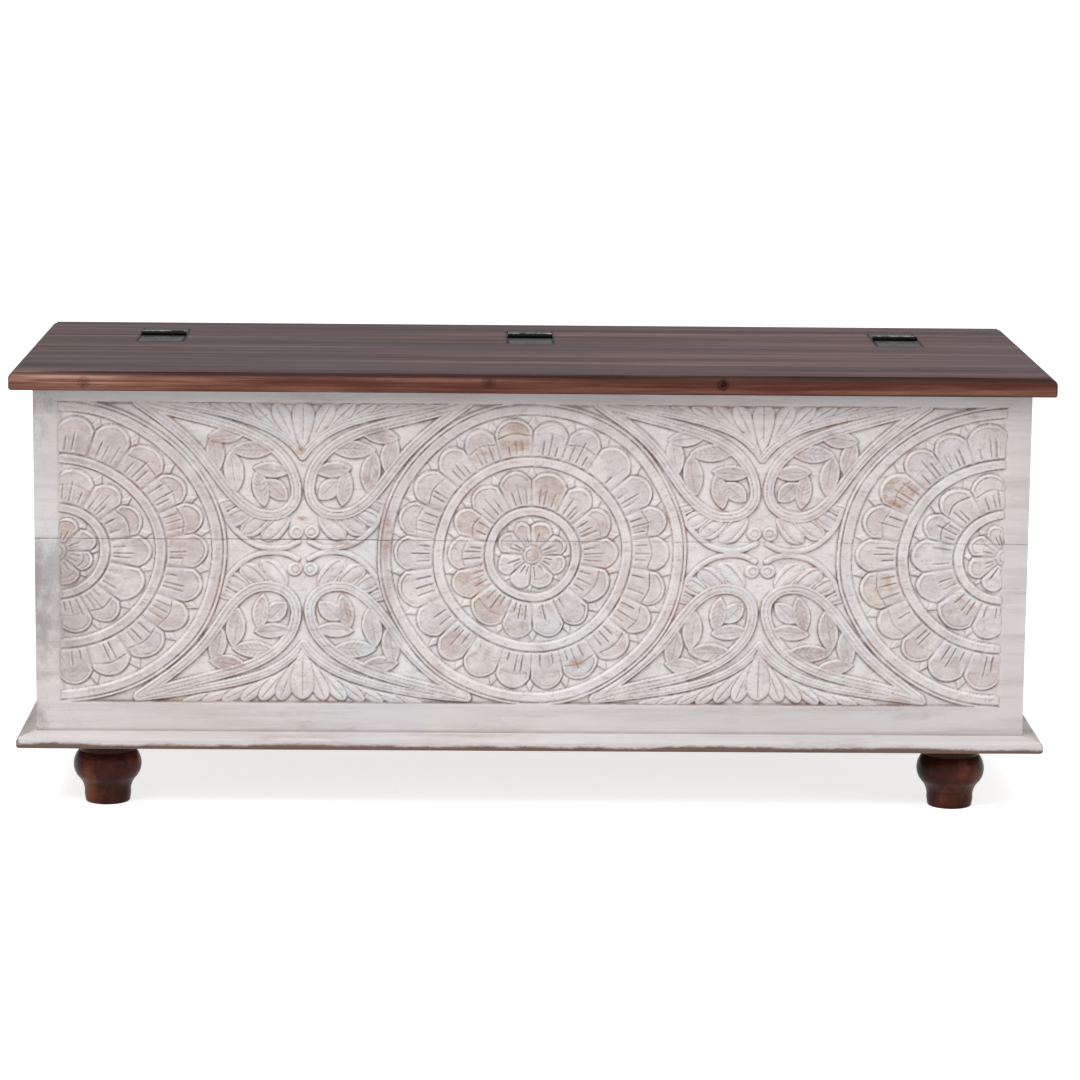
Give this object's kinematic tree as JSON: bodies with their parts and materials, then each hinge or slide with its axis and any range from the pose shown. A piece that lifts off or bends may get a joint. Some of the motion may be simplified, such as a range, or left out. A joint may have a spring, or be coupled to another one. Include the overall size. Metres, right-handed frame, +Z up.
{
  "type": "carved wooden chest",
  "caption": "Low rectangular wooden chest with a carved whitewashed front, a moulded base on turned feet and a dark hinged lid in front of a fixed rear rail.",
  "frame": {"origin": "on the floor, under the middle of the top", "axes": "+X along the front towards its right end, +Y from front to back, +Z up"},
  "size_m": [1.1, 0.45, 0.478],
  "materials": {
    "carved_whitewash": "carved mango wood, worn white limewash with brown rub-through",
    "plain_whitewash": "plain planks with a worn white limewash",
    "dark_top": "dark purple-brown stain, satin wax",
    "turned_foot": "dark reddish brown stain, gloss polish",
    "bare_wood": "unfinished sawn wood",
    "dark_iron": "blackened iron",
    "screw_steel": "dull steel"
  },
  "bodies": {
    "chest": {"front_board_bottom": "carved_whitewash", "front_board_lower": "carved_whitewash", "front_board_upper": "carved_whitewash", "front_board_top": "carved_whitewash", "back_panel": "plain_whitewash", "left_side_panel": "plain_whitewash", "right_side_panel": "plain_whitewash", "floor_panel": "bare_wood", "corner_post_front_left": "bare_wood", "corner_post_front_right": "bare_wood", "corner_post_back_left": "bare_wood", "corner_post_back_right": "bare_wood", "corner_dowels": "bare_wood", "base_board_front": "plain_whitewash", "base_board_back": "plain_whitewash", "base_board_left": "plain_whitewash", "base_board_right": "plain_whitewash", "floor_bearer_left": "bare_wood", "floor_bearer_right": "bare_wood", "base_screws": "screw_steel", "foot_front_left": "turned_foot", "foot_front_right": "turned_foot", "foot_back_left": "turned_foot", "foot_back_right": "turned_foot", "foot_bolts": "screw_steel", "rear_rail": "dark_top", "rail_batten": "bare_wood", "rail_screws": "screw_steel", "hinge_left_rail_leaf": "dark_iron", "hinge_middle_rail_leaf": "dark_iron", "hinge_right_rail_leaf": "dark_iron", "hinge_left_pin": "dark_iron", "hinge_middle_pin": "dark_iron", "hinge_right_pin": "dark_iron", "hinge_rail_screws": "screw_steel"},
    "lid": {"lid_board_front": "dark_top", "lid_board_middle": "dark_top", "lid_board_back": "dark_top", "lid_batten_left": "bare_wood", "lid_batten_right": "bare_wood", "lid_batten_screws": "screw_steel", "hinge_left_lid_leaf": "dark_iron", "hinge_middle_lid_leaf": "dark_iron", "hinge_right_lid_leaf": "dark_iron", "hinge_lid_screws": "screw_steel"}
  },
  "joints": [
    {"name": "lid_hinge", "type": "hinge", "parent": "chest", "child": "lid", "pos_m": [0, 0.1, 0.4748], "axis": [-1, 0, 0], "range_deg": [0, 180]}
  ]
}
